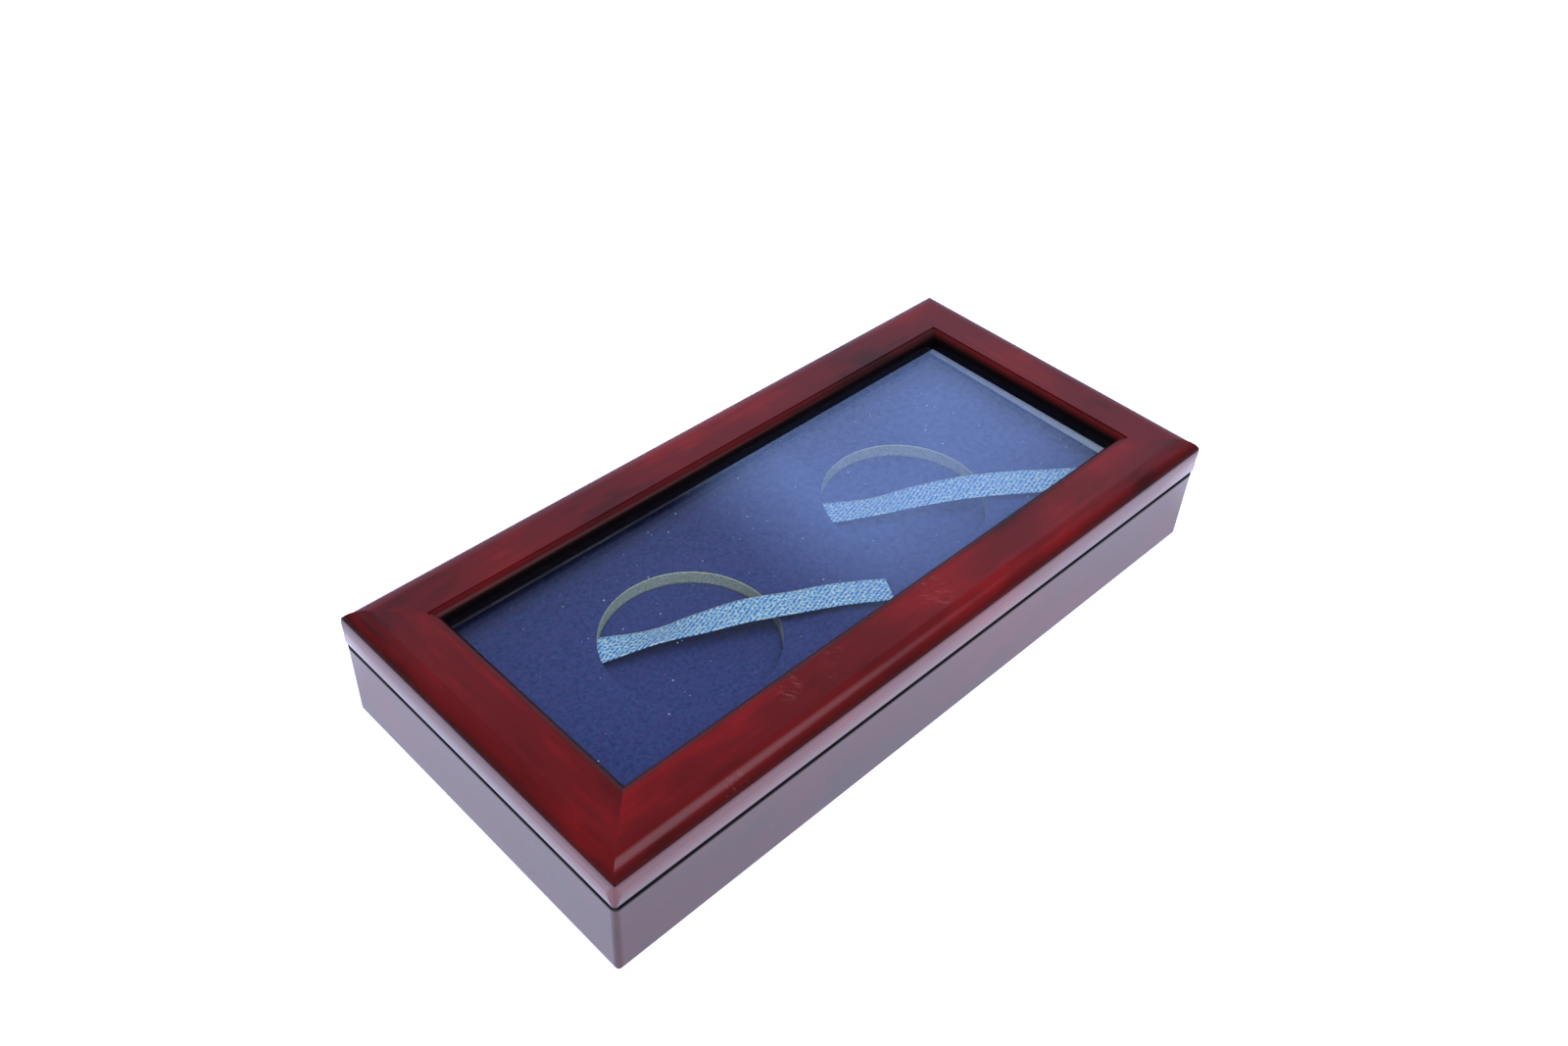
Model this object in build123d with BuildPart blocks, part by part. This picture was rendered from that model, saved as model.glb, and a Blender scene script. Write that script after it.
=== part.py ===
from build123d import *
import os

os.makedirs("parts", exist_ok=True)

# Sizes of the coin display box in millimetres. The origin is the centre of the underside. X runs
# along the length, the front is at -Y, the hinges are at +Y and Z is up.

# Base tray
base_length = 200.0
base_width = 96.0
wall_height = 21.5
wall_thickness = 8.0
base_corner = 1.5
wall_edge_round = 0.6
rebate_width = 4.0
panel_thickness = 3.0
felt_thickness = 0.8
panel_clearance = 0.2

# Lid frame moulding: insets run inwards from the base's outline, heights up from the lid's underside
parting_gap = 0.7
lid_height = 10.2
lid_overhang = 0.5
lid_corner = 2.4
widest_height = 4.7
crease_inset = 14.0
quirk_depth = 0.4
bead_radius = 2.8
rabbet_width = 5.0

# Window glass and the strips that hold it
glass_depth = 5.0
glass_thickness = 2.0
glass_clearance = 0.3
strip_width = 2.9
strip_height = 2.6
strip_edge_round = 0.6
strip_clearance = 0.1
right_strip_front_width = 4.2
right_strip_back_width = 3.3

# Coin insert; the recesses, hinges and magnets are set in from the base's ends
recess_radius = 22.0
recess_inset = 62.3
recess_depth = 4.6
platform_depth = 4.7
velvet_thickness = 0.4
insert_clearance = 0.25

# Lift-out ribbons
ribbon_width = 10.0
ribbon_thickness = 0.3
ribbon_tail = 9.0
slit_clearance = 0.1

# Stop hinges
hinge_inset = 38.0
hinge_width = 24.0
leaf_thickness = 0.9
leaf_setback = 7.2
knuckle_radius = 1.9
knuckle_standoff = 0.4
knuckle_gap = 0.25
pin_radius = 0.7
pin_fixed_clearance = 0.01
pin_running_clearance = 0.05
pin_head_radius = 1.2
pin_head_length = 0.7
pin_head_taper = 30.0
stop_angle = 100.0
stop_play = 0.4
stop_length = 1.5
stop_thickness = 0.9
mortise_clearance = 0.1

# Hinge screws
screw_spacing = 14.0
screw_radius = 0.8
screw_head_radius = 1.55
screw_length = 6.5
screw_point = 1.4
screw_sink_angle = 90.0
screw_slot_width = 0.35
screw_slot_depth = 0.3
screw_clearance = 0.05

# Closing magnets
magnet_inset = 40.0
magnet_radius = 3.0
magnet_height = 2.4
magnet_proud = 0.25
magnet_clearance = 0.1
magnet_edge = 0.3

# Levels and places worked out from the sizes above
half_length = base_length / 2
half_width = base_width / 2
lid_bottom = wall_height + parting_gap
lid_top = lid_bottom + lid_height
panel_top = felt_thickness + panel_thickness
inner_length = base_length - 2 * wall_thickness
inner_width = base_width - 2 * wall_thickness
platform_top = wall_height - platform_depth
recess_floor = platform_top - recess_depth
reveal_inset = crease_inset + bead_radius
rabbet_inset = reveal_inset - rabbet_width
glass_top = lid_top - glass_depth
glass_bottom = glass_top - glass_thickness
rabbet_length = base_length - 2 * rabbet_inset
rabbet_depth = base_width - 2 * rabbet_inset
axis_y = half_width + knuckle_radius + knuckle_standoff
axis_z = wall_height + parting_gap / 2
leaf_front = half_width - leaf_setback
leaf_back = axis_y - knuckle_radius - knuckle_gap
screw_y = half_width - leaf_setback / 2
magnet_y = wall_thickness / 2 - half_width
recess_centres = [(recess_inset - half_length, 0), (half_length - recess_inset, 0)]
hinge_centres = {"left": hinge_inset - half_length, "right": half_length - hinge_inset}
magnet_centres = [magnet_inset - half_length, half_length - magnet_inset]

# The four sides of the box: local X runs along a side, local Y points inwards and Z is up
front_side = Plane(origin=(0, -half_width, 0), x_dir=(1, 0, 0), z_dir=(0, 0, 1))
back_side = Plane(origin=(0, half_width, 0), x_dir=(-1, 0, 0), z_dir=(0, 0, 1))
left_side = Plane(origin=(-half_length, 0, 0), x_dir=(0, -1, 0), z_dir=(0, 0, 1))
right_side = Plane(origin=(half_length, 0, 0), x_dir=(0, 1, 0), z_dir=(0, 0, 1))


def save(name, part):
    """Labels a finished piece and writes it under its own name."""
    part.label = name
    export_step(part, f"parts/{name}.step")


def section_plane(side):
    """The plane across a side, where sketch X points inwards and sketch Y is up."""
    return Plane(origin=side.origin, x_dir=side.y_dir, z_dir=side.x_dir)


def mitre_plane(side, run, end):
    """The 45 degree plane through a side's outer corner, facing away from the piece."""
    corner = side.from_local_coords(Vector(end * run / 2, 0, 0))
    return Plane(origin=corner, z_dir=side.x_dir * end + side.y_dir)


# Base walls, mitred at the corners and rebated underneath for the bottom panel
def wall(side, run):
    with BuildPart() as piece:
        with BuildSketch(section_plane(side)):
            with BuildLine():
                Polyline(
                    (0, 0),
                    (wall_thickness - rebate_width, 0),
                    (wall_thickness - rebate_width, panel_top),
                    (wall_thickness, panel_top),
                    (wall_thickness, wall_height),
                    (0, wall_height),
                    close=True,
                )
            make_face()
            fillet(vertices().group_by(Axis.X)[0], wall_edge_round)
        extrude(amount=run / 2, both=True)
        for end in (1, -1):
            split(bisect_by=mitre_plane(side, run, end), keep=Keep.BOTTOM)
        with BuildSketch(Plane.XY):
            RectangleRounded(base_length, base_width, base_corner)
        extrude(amount=wall_height, mode=Mode.INTERSECT)
    return piece.part


# Lid rails: one moulding with a full outer round, a quirk, a bead and a rabbet for the glass
def rail(side, run):
    crown_radius = lid_height - widest_height
    quarter_turn = -90
    widest = (-lid_overhang, lid_bottom + widest_height)
    crease = (crease_inset, lid_top - quirk_depth)
    with BuildPart() as piece:
        with BuildSketch(section_plane(side)):
            with BuildLine():
                TangentArc(widest, (0, lid_bottom), tangent=(0, -1))
                crown = JernArc(start=widest, tangent=(0, 1), radius=crown_radius, arc_size=quarter_turn)
                bead = JernArc(start=crease, tangent=(1, 0), radius=bead_radius, arc_size=quarter_turn)
                Polyline(crown @ 1, (crease_inset, lid_top), crease)
                Polyline(
                    bead @ 1,
                    (reveal_inset, glass_top),
                    (rabbet_inset, glass_top),
                    (rabbet_inset, lid_bottom),
                    (0, lid_bottom),
                )
            make_face()
        extrude(amount=run / 2 + lid_overhang, both=True)
        for end in (1, -1):
            split(bisect_by=mitre_plane(side, run, end), keep=Keep.BOTTOM)
        with BuildSketch(Plane.XY.offset(lid_bottom)):
            RectangleRounded(base_length + 2 * lid_overhang, base_width + 2 * lid_overhang, lid_corner)
        extrude(amount=lid_height, mode=Mode.INTERSECT)
    return piece.part


# A parting face carries the hinge mortises at the back and the magnet pockets at the front;
# its plane looks out of the wood
base_parting = Plane(origin=(0, 0, wall_height), x_dir=(1, 0, 0), z_dir=(0, 0, 1))
lid_parting = Plane(origin=(0, 0, lid_bottom), x_dir=(1, 0, 0), z_dir=(0, 0, -1))


def place(parting, x, y):
    """A location on a parting face that looks out of the wood."""
    return Location(Plane(origin=(x, y, parting.origin.Z), x_dir=parting.x_dir, z_dir=parting.z_dir))


def screw_places(parting):
    """The four screws of a parting face."""
    offsets = (-screw_spacing / 2, screw_spacing / 2)
    return [place(parting, x + offset, screw_y) for x in hinge_centres.values() for offset in offsets]


def magnet_places(parting):
    """The two magnets of a parting face."""
    return [place(parting, x, magnet_y) for x in magnet_centres]


def back_piece(blank, parting):
    """A back wall or rail with its hinge mortises and screw holes."""
    mortise_reach = half_width + lid_overhang - leaf_front + mortise_clearance
    with BuildPart() as piece:
        add(blank)
        for x in hinge_centres.values():
            with Locations((x, leaf_front - mortise_clearance, parting.origin.Z)):
                Box(
                    hinge_width + 2 * mortise_clearance,
                    mortise_reach,
                    2 * leaf_thickness,
                    align=(Align.CENTER, Align.MIN, Align.CENTER),
                    mode=Mode.SUBTRACT,
                )
        with Locations(*screw_places(parting)):
            Cylinder(
                screw_radius + screw_clearance,
                screw_length + screw_clearance,
                align=(Align.CENTER, Align.CENTER, Align.MAX),
                mode=Mode.SUBTRACT,
            )
    return piece.part


def front_piece(blank, parting):
    """A front wall or rail with its magnet pockets."""
    with BuildPart() as piece:
        add(blank)
        with Locations(*magnet_places(parting)):
            Cylinder(
                magnet_radius + magnet_clearance,
                magnet_height - magnet_proud,
                align=(Align.CENTER, Align.CENTER, Align.MAX),
                mode=Mode.SUBTRACT,
            )
    return piece.part


save("base_front_wall", front_piece(wall(front_side, base_length), base_parting))
save("base_back_wall", back_piece(wall(back_side, base_length), base_parting))
save("base_left_wall", wall(left_side, base_width))
save("base_right_wall", wall(right_side, base_width))
save("lid_front_rail", front_piece(rail(front_side, base_length), lid_parting))
save("lid_back_rail", back_piece(rail(back_side, base_length), lid_parting))
save("lid_left_rail", rail(left_side, base_width))
save("lid_right_rail", rail(right_side, base_width))


# Bottom panel and the felt under it, both dropped into the rebate from below
panel_size = (
    inner_length + 2 * (rebate_width - panel_clearance),
    inner_width + 2 * (rebate_width - panel_clearance),
)


def sheet(size, bottom, thickness):
    """A flat rectangular sheet, centred on the box."""
    with BuildPart() as piece:
        with BuildSketch(Plane.XY.offset(bottom)):
            Rectangle(*size)
        extrude(amount=thickness)
    return piece.part


save("bottom_felt", sheet(panel_size, 0, felt_thickness))
save("base_bottom_panel", sheet(panel_size, felt_thickness, panel_thickness))


# Ribbon routes. A station is a place along and across the recess in recess radii from its centre,
# a height above the recess floor or the platform in recess depths, and a roll that lifts the front
# edge in degrees
in_recess = {
    "left": [(-0.85, 0.59, 0.43, 10), (-0.28, 0.29, 0.70, 27), (0.18, 0.07, 0.96, 19)],
    "right": [(-0.88, 0.52, 0.43, 10), (-0.36, 0.17, 0.63, 16), (0.15, -0.13, 1.00, 10)],
}
over_platform = {
    "left": [
        (0.67, -0.17, 0.22, 13),
        (1.12, -0.45, 0.37, 14),
        (1.60, -0.69, 0.30, 13),
        (2.06, -1.01, 0.33, 14),
    ],
    "right": [
        (0.64, -0.44, 0.26, 6),
        (1.13, -0.79, 0.35, 4),
        (1.61, -1.12, 0.28, 6),
        (2.10, -1.45, 0.24, 9),
    ],
}


def ribbon_planes(name, centre_x):
    """A plane across the ribbon at each station, whose X lies along the ribbon's width."""
    runs = ((recess_floor, in_recess[name]), (platform_top, over_platform[name]))
    stations = [(x, y, level + lift * recess_depth, roll) for level, run in runs for x, y, lift, roll in run]
    points = [Vector(centre_x + x * recess_radius, y * recess_radius, z) for x, y, z, roll in stations]
    planes = []
    for index, point in enumerate(points):
        along = points[min(index + 1, len(points) - 1)] - points[max(index - 1, 0)]
        level = along.cross(Vector(0, 0, 1))
        width_way = level.rotate(Axis((0, 0, 0), along), -stations[index][3])
        planes.append(Plane(origin=point, x_dir=width_way, z_dir=along))
    return planes


routes = {name: ribbon_planes(name, x) for name, (x, y) in zip(("left", "right"), recess_centres)}


def ribbon_solid(planes, clearance):
    """The ribbon and its hidden tail, or with a clearance the slit that it needs."""
    with BuildPart() as ribbon:
        for plane in planes:
            with BuildSketch(plane):
                Rectangle(ribbon_width + 2 * clearance, ribbon_thickness + 2 * clearance)
        loft()
        with BuildSketch(planes[0]):
            Rectangle(ribbon_width + 2 * clearance, ribbon_thickness + 2 * clearance)
        extrude(amount=-(ribbon_tail + clearance))
    return ribbon.part


for name, planes in routes.items():
    ribbon = ribbon_solid(planes, 0)
    save(f"{name}_ribbon", ribbon)
    length = Spline(*[plane.origin for plane in planes]).length + ribbon_tail
    print(f"{name} ribbon: {length:.1f} mm long, {ribbon.volume:.1f} mm3")


# Coin insert: plain lower foam, a pierced upper foam, and a velvet skin on each
insert_size = (inner_length - 2 * insert_clearance, inner_width - 2 * insert_clearance)


def pierced_sheet(bottom, thickness):
    """A sheet of the insert with the two coin recesses cut right through."""
    with BuildPart() as piece:
        add(sheet(insert_size, bottom, thickness))
        with BuildSketch(Plane.XY.offset(bottom)):
            with Locations(*recess_centres):
                Circle(recess_radius)
        extrude(amount=thickness, mode=Mode.SUBTRACT)
    return piece.part


floor_foam_top = recess_floor - velvet_thickness
top_foam_top = platform_top - velvet_thickness
save("insert_lower_foam", sheet(insert_size, panel_top, floor_foam_top - panel_top))
save("insert_floor_velvet", sheet(insert_size, floor_foam_top, velvet_thickness))
save("insert_top_velvet", pierced_sheet(top_foam_top, velvet_thickness))

with BuildPart() as insert_upper_foam:
    add(pierced_sheet(recess_floor, top_foam_top - recess_floor))
    for planes in routes.values():
        add(ribbon_solid(planes, slit_clearance), mode=Mode.SUBTRACT)
save("insert_upper_foam", insert_upper_foam.part)


# Window glass, and the four strips under it
glass_size = (rabbet_length - 2 * glass_clearance, rabbet_depth - 2 * glass_clearance)
save("window_glass", sheet(glass_size, glass_bottom, glass_thickness))

strip_bottom = glass_bottom - strip_height
long_strip_length = rabbet_length - 2 * strip_clearance
short_strip_length = rabbet_depth - 2 * (strip_width + 2 * strip_clearance)


def strip(side, length):
    """A straight strip along one side of the rabbet, rounded along its lower inner edge."""
    with BuildPart() as piece:
        with BuildSketch(section_plane(side)):
            with Locations((rabbet_inset + strip_clearance, strip_bottom)):
                Rectangle(strip_width, strip_height, align=(Align.MIN, Align.MIN))
            fillet(vertices().sort_by(Axis.Y)[:2].sort_by(Axis.X)[-1], strip_edge_round)
        extrude(amount=length / 2, both=True)
    return piece.part


save("front_glass_strip", strip(front_side, long_strip_length))
save("back_glass_strip", strip(back_side, long_strip_length))
save("left_glass_strip", strip(left_side, short_strip_length))

# The right strip is wider than the others and tapers towards the back
with BuildPart() as right_glass_strip:
    outer_x = half_length - rabbet_inset - strip_clearance
    end_y = short_strip_length / 2
    with BuildSketch(Plane.XY.offset(strip_bottom)):
        with BuildLine():
            Polyline(
                (outer_x, -end_y),
                (outer_x, end_y),
                (outer_x - right_strip_back_width, end_y),
                (outer_x - right_strip_front_width, -end_y),
                close=True,
            )
        make_face()
    extrude(amount=strip_height)
    fillet(faces().sort_by(Axis.Z)[0].edges().sort_by(Axis.X)[0], strip_edge_round)
save("right_glass_strip", right_glass_strip.part)


# Hinges: a leaf is a plate let into a parting face, with its knuckles on the axis and a stop tail
# behind them. The base's leaf holds the outer knuckles and the pin, the lid's leaf the middle one.
knuckle_length = (hinge_width - 2 * knuckle_gap) / 3
middle_knuckle = [(-knuckle_length / 2, knuckle_length / 2)]
outer_knuckles = [
    (-hinge_width / 2, -knuckle_length / 2 - knuckle_gap),
    (knuckle_length / 2 + knuckle_gap, hinge_width / 2),
]
base_tail_angle = -stop_angle / 2
lid_tail_angle = stop_angle / 2 + stop_play


def hinge_plane(centre_x):
    """The plane across a hinge, centred on its axis, where sketch X points backwards and Y is up."""
    return Plane(origin=(centre_x, axis_y, axis_z), x_dir=(0, 1, 0), z_dir=(1, 0, 0))


def hinge_leaf(centre_x, parting, knuckles, tail_angle, bore_clearance):
    """A leaf whose plate lies on the wood's side of its parting face: up in the lid, down in the base."""
    across = hinge_plane(centre_x)
    up = -parting.z_dir.Z
    plate_side = Align.MIN if up > 0 else Align.MAX
    tail_start = knuckle_radius + knuckle_gap
    tail_turn = Location((0, 0, 0), (0, 0, tail_angle))
    with BuildPart() as leaf:
        with BuildSketch(across):
            with Locations((leaf_front - axis_y, up * parting_gap / 2)):
                Rectangle(leaf_back - leaf_front, leaf_thickness, align=(Align.MIN, plate_side))
            with Locations(tail_turn):
                with Locations((tail_start, 0)):
                    Rectangle(stop_length, stop_thickness, align=(Align.MIN, plate_side))
        extrude(amount=hinge_width / 2, both=True)
        for start, end in knuckles:
            with BuildSketch(across.offset(start)):
                Circle(knuckle_radius)
                with Locations((leaf_back - axis_y, up * parting_gap / 2)):
                    Rectangle(axis_y - leaf_back, leaf_thickness, align=(Align.MIN, plate_side))
                with Locations(tail_turn):
                    Rectangle(tail_start, stop_thickness, align=(Align.MIN, plate_side))
            extrude(amount=end - start)
        with BuildSketch(across):
            Circle(pin_radius + bore_clearance)
        extrude(amount=hinge_width, both=True, mode=Mode.SUBTRACT)
        with Locations(*screw_places(parting)):
            CounterSinkHole(
                radius=screw_radius + screw_clearance,
                counter_sink_radius=screw_head_radius + screw_clearance,
                depth=2 * leaf_thickness,
                counter_sink_angle=screw_sink_angle,
            )
    return leaf.part


for name, x in hinge_centres.items():
    base_leaf = hinge_leaf(x, base_parting, outer_knuckles, base_tail_angle, pin_fixed_clearance)
    save(f"{name}_hinge_base_leaf", base_leaf)
    lid_leaf = hinge_leaf(x, lid_parting, middle_knuckle, lid_tail_angle, pin_running_clearance)
    save(f"{name}_hinge_lid_leaf", lid_leaf)

with BuildPart() as hinge_pins:
    for x in hinge_centres.values():
        with BuildSketch(hinge_plane(x)):
            Circle(pin_radius)
        extrude(amount=hinge_width / 2, both=True)
        for end in (1, -1):
            with BuildSketch(hinge_plane(x).offset(end * hinge_width / 2)):
                Circle(pin_head_radius)
            extrude(amount=end * pin_head_length, taper=pin_head_taper)
save("hinge_pins", hinge_pins.part)


# Countersunk slotted screws, pointing into the wood
with BuildPart() as screw:
    with BuildSketch(Plane.XZ):
        with BuildLine():
            Polyline(
                (0, 0),
                (screw_head_radius, 0),
                (screw_radius, screw_radius - screw_head_radius),
                (screw_radius, screw_point - screw_length),
                (0, -screw_length),
                close=True,
            )
        make_face()
    revolve(axis=Axis.Z)
    with BuildSketch(Plane.XY):
        Rectangle(2 * screw_head_radius, screw_slot_width)
    extrude(amount=-screw_slot_depth, mode=Mode.SUBTRACT)

for name, parting in (("base", base_parting), ("lid", lid_parting)):
    with BuildPart() as screws:
        with Locations(*screw_places(parting)):
            add(screw.part)
    save(f"{name}_hinge_screws", screws.part)


# Closing magnets, standing a little proud of their pockets
for name, parting in (("base", base_parting), ("lid", lid_parting)):
    with BuildPart() as magnets:
        with Locations(*magnet_places(parting)):
            with Locations((0, 0, magnet_proud)):
                Cylinder(magnet_radius, magnet_height, align=(Align.CENTER, Align.CENTER, Align.MAX))
        chamfer(edges().filter_by(GeomType.CIRCLE), magnet_edge)
    save(f"{name}_magnets", magnets.part)
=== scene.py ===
# %% [markdown]
# A coin display box, dressed for a photograph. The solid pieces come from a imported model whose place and
# size are fixed. This script gives them their finishes and builds the soft pieces (velvet, foam, felt and
# ribbon) as meshes of their own. All lengths are in metres.

# %% Load the fixed frame
import math

import bmesh
import bpy
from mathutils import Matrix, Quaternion, Vector, noise


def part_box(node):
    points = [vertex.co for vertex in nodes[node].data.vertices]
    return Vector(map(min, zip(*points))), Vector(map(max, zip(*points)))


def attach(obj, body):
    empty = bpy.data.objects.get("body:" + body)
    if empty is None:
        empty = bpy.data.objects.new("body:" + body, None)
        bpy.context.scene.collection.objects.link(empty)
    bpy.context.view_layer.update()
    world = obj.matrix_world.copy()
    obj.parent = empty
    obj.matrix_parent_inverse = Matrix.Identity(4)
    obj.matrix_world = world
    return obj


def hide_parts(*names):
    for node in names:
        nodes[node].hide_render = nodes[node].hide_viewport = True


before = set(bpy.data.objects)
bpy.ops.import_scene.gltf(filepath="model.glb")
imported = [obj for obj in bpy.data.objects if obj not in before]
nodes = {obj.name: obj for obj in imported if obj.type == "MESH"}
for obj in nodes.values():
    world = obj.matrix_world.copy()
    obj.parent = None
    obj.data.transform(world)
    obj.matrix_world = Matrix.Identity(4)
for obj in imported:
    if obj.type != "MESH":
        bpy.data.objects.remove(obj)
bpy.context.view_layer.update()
mm = 0.001
print("pieces in the frame:", len(nodes))

# %% [markdown]
# The camera stands in front of the left front corner and looks down on the lid. Its place, the point on
# the table that it looks at and its slight tilt were worked out from the box's own straight edges, since
# parallel edges that meet far away in a picture fix where the lens was.

# %% Camera
camera_place = Vector((-0.19294, -0.17556, 0.26325))
camera_aim = Vector((0.02085, 0.02724, 0.0))
camera_tilt = math.radians(3.15)
lens_length = 32.88

lens = bpy.data.cameras.new("camera")
lens.lens = lens_length
lens.sensor_width = 36.0
lens.clip_start = 0.01
lens.clip_end = 50.0
camera = bpy.data.objects.new("camera", lens)
bpy.context.collection.objects.link(camera)
camera.location = camera_place
camera.rotation_mode = "QUATERNION"
level_look = (camera_place - camera_aim).to_track_quat("Z", "Y")
camera.rotation_quaternion = level_look @ Quaternion((0, 0, 1), camera_tilt)
bpy.context.scene.camera = camera
print("camera to aim point:", round((camera_place - camera_aim).length, 3), "m")

# %% [markdown]
# A node material is a small graph. A few helpers keep the graphs short to read: they make a node and fill
# its sockets, do one step of arithmetic, and mix two colours by a factor. Each finish below is then a few
# lines, where clicking the same nodes together by hand would be slow and easy to get wrong.

# %% Node helpers
def new_finish(name):
    """A new material, its graph and its main shader."""
    finish = bpy.data.materials.new(name)
    finish.use_nodes = True
    return finish, finish.node_tree, finish.node_tree.nodes["Principled BSDF"]


def put(socket, value, tree):
    """Joins a socket to another one, or sets its value."""
    if isinstance(value, bpy.types.NodeSocket):
        tree.links.new(value, socket)
    else:
        socket.default_value = value


def make(tree, kind, settings=None, **inputs):
    """A node with its settings and sockets filled in; a space in a socket's name is written as _."""
    made = tree.nodes.new(kind)
    for name, value in (settings or {}).items():
        setattr(made, name, value)
    for name, value in inputs.items():
        put(made.inputs[name.replace("_", " ")], value, tree)
    return made


def sum_of(tree, operation, first, second=0.0, third=0.0):
    """One arithmetic step."""
    made = make(tree, "ShaderNodeMath", {"operation": operation})
    for socket, value in zip(made.inputs, (first, second, third)):
        put(socket, value, tree)
    return made.outputs["Value"]


def tint(tree, factor, first, second):
    """The first colour, changed into the second by the factor."""
    made = make(tree, "ShaderNodeMix", {"data_type": "RGBA"})
    for socket, value in zip((made.inputs[0], made.inputs[6], made.inputs[7]), (factor, first, second)):
        put(socket, value, tree)
    return made.outputs[2]


def between(tree, value, low, high):
    """0 below low and 1 above high, with a smooth step in between."""
    step = {"interpolation_type": "SMOOTHSTEP"}
    made = make(tree, "ShaderNodeMapRange", step, Value=value, From_Min=low, From_Max=high)
    return made.outputs["Result"]


print("graph helpers are ready")

# %% [markdown]
# Most finishes here are noise: a place on the piece goes in and a grey between 0 and 1 comes out. A picture
# of the material would need unwrapping and would blur close up, while noise is sharp at any distance. The
# place can be stretched, so that lumps become streaks, and the same grey can drive a relief.

# %% Noise and relief helpers
def place_in(tree, stretch=(1, 1, 1), turn=0.0, kind="Object"):
    """A piece's own place in metres, or its UV map, turned about the upright axis and stretched."""
    coordinates = make(tree, "ShaderNodeTexCoord")
    mapping = make(
        tree,
        "ShaderNodeMapping",
        {"vector_type": "TEXTURE"},
        Vector=coordinates.outputs[kind],
        Rotation=(0, 0, turn),
        Scale=stretch,
    )
    return mapping.outputs["Vector"]


def cloud(tree, where, size, detail=2.0, rough=0.5):
    """Soft noise whose lumps are about the given size, in the unit of the place."""
    made = make(tree, "ShaderNodeTexNoise", Vector=where, Scale=1 / size, Detail=detail, Roughness=rough)
    return made.outputs["Fac"]


def relief(tree, height, depth):
    """A normal that shows the height as relief of the given depth in metres."""
    made = make(tree, "ShaderNodeBump", Height=height, Distance=depth, Strength=1.0)
    return made.outputs["Normal"]


print("noise helpers are ready")

# %% [markdown]
# The wood is stained cherry red and lacquered to a gloss. Real stain sinks in unevenly, so the colour is
# three noises laid over each other: wide clouds, streaks stretched along the grain, and thin dark pores.
# The lacquer is the shader's coat, smoother than the wood under it. The grain runs along each rail, so
# there is one finish for the long rails and one for the short ones.
#
# The colour is painted black as shade on the reveal beside the glass and along the parting line of lid and
# base, and the coat is thinned there, so that the shade mirrors nothing. The walls of the base and the
# steep part of the lid's rounded edge are painted darker than the top, as shade for the less light that they
# get. Painting such shades by hand would be lost when a size changes, so they are worked out from heights
# and distances that come from the imported pieces.

# %% Stain shades by place
stain_dark = (0.045, 0.0050, 0.0065, 1)
stain_middle = (0.135, 0.0065, 0.0090, 1)
stain_bright = (0.240, 0.0080, 0.0105, 1)
# Painted shade: the near-black colour that shaded places are mixed towards.
shade_black = (0.004, 0.002, 0.0025, 1)
lid_bottom, lid_top = (corner.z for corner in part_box("lid_front_rail"))
wall_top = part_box("base_front_wall")[1].z
wall_half = Vector((-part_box("base_left_wall")[0].x, -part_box("base_front_wall")[0].y))
bead_inset = 13.9 * mm
bead_half = wall_half - Vector((bead_inset, bead_inset))
reveal_rim = (0.4 * mm, -0.3 * mm)
reveal_heights = (lid_top + 0.4 * mm, lid_top - 1.7 * mm)
underside_heights = (lid_bottom + 0.1 * mm, lid_bottom + 0.6 * mm)
arris_heights = (wall_top - 1.05 * mm, wall_top - 0.65 * mm)
lid_foot_heights = (lid_bottom + 0.55 * mm, lid_bottom + 0.20 * mm)
parting_rim = (-0.9 * mm, -0.5 * mm)
edge_upper = (lid_top - 0.8 * mm, lid_top - 2.4 * mm)
edge_lower = (lid_top - 4.2 * mm, lid_top - 3.2 * mm)


def beyond_box(tree, half):
    """How far a point lies outside a box with the given half sizes, seen from above."""
    parts = make(tree, "ShaderNodeSeparateXYZ", Vector=place_in(tree)).outputs
    beyond_x = sum_of(tree, "SUBTRACT", sum_of(tree, "ABSOLUTE", parts["X"]), half.x)
    beyond_y = sum_of(tree, "SUBTRACT", sum_of(tree, "ABSOLUTE", parts["Y"]), half.y)
    return sum_of(tree, "MAXIMUM", beyond_x, beyond_y)


def reveal_shade(tree, height):
    """Painted shade: 1 on the lid's faces beside and below the glass, 0 on its top and its underside."""
    inside = between(tree, beyond_box(tree, bead_half), *reveal_rim)
    deep = between(tree, height, *reveal_heights)
    above_underside = between(tree, height, *underside_heights)
    return sum_of(tree, "MULTIPLY", inside, sum_of(tree, "MULTIPLY", deep, above_underside))


def parting_shade(tree, height):
    """Painted shade: 1 on the outer arris of the base and the outer edge of the lid above it, 0 elsewhere."""
    above = between(tree, height, *arris_heights)
    below = between(tree, height, *lid_foot_heights)
    outer = between(tree, beyond_box(tree, wall_half), *parting_rim)
    return sum_of(tree, "MULTIPLY", sum_of(tree, "MULTIPLY", above, below), outer)


def steep_edge_shade(tree, height):
    """Painted shade: 1 on the steep part of the lid's rounded edge, above its widest line."""
    below = between(tree, height, *edge_upper)
    above = between(tree, height, *edge_lower)
    return sum_of(tree, "MULTIPLY", below, above)


print("walls end at", round(wall_top / mm, 2), "mm")
print("lid from", round(lid_bottom / mm, 2), "to", round(lid_top / mm, 2), "mm")

# %% [markdown]
# With the shades in hand the finish is put together: colour from clouds, streaks and pores, a few pale
# scuffs where things slid over the lid, and a coat with a faint ripple, as sprayed lacquer has. A mirror
# smooth coat would look like plastic.

# %% Lacquered wood
wood_cloud = 19 * mm
wood_streak = 1.6 * mm
wood_pore = 0.35 * mm
pore_depth = 0.01 * mm
scuff_patch = 21 * mm
scuff_line = 0.7 * mm
scuff_colour = (0.42, 0.16, 0.16, 1)
lacquer_ripple = 6 * mm
ripple_depth = 0.012 * mm


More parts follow.
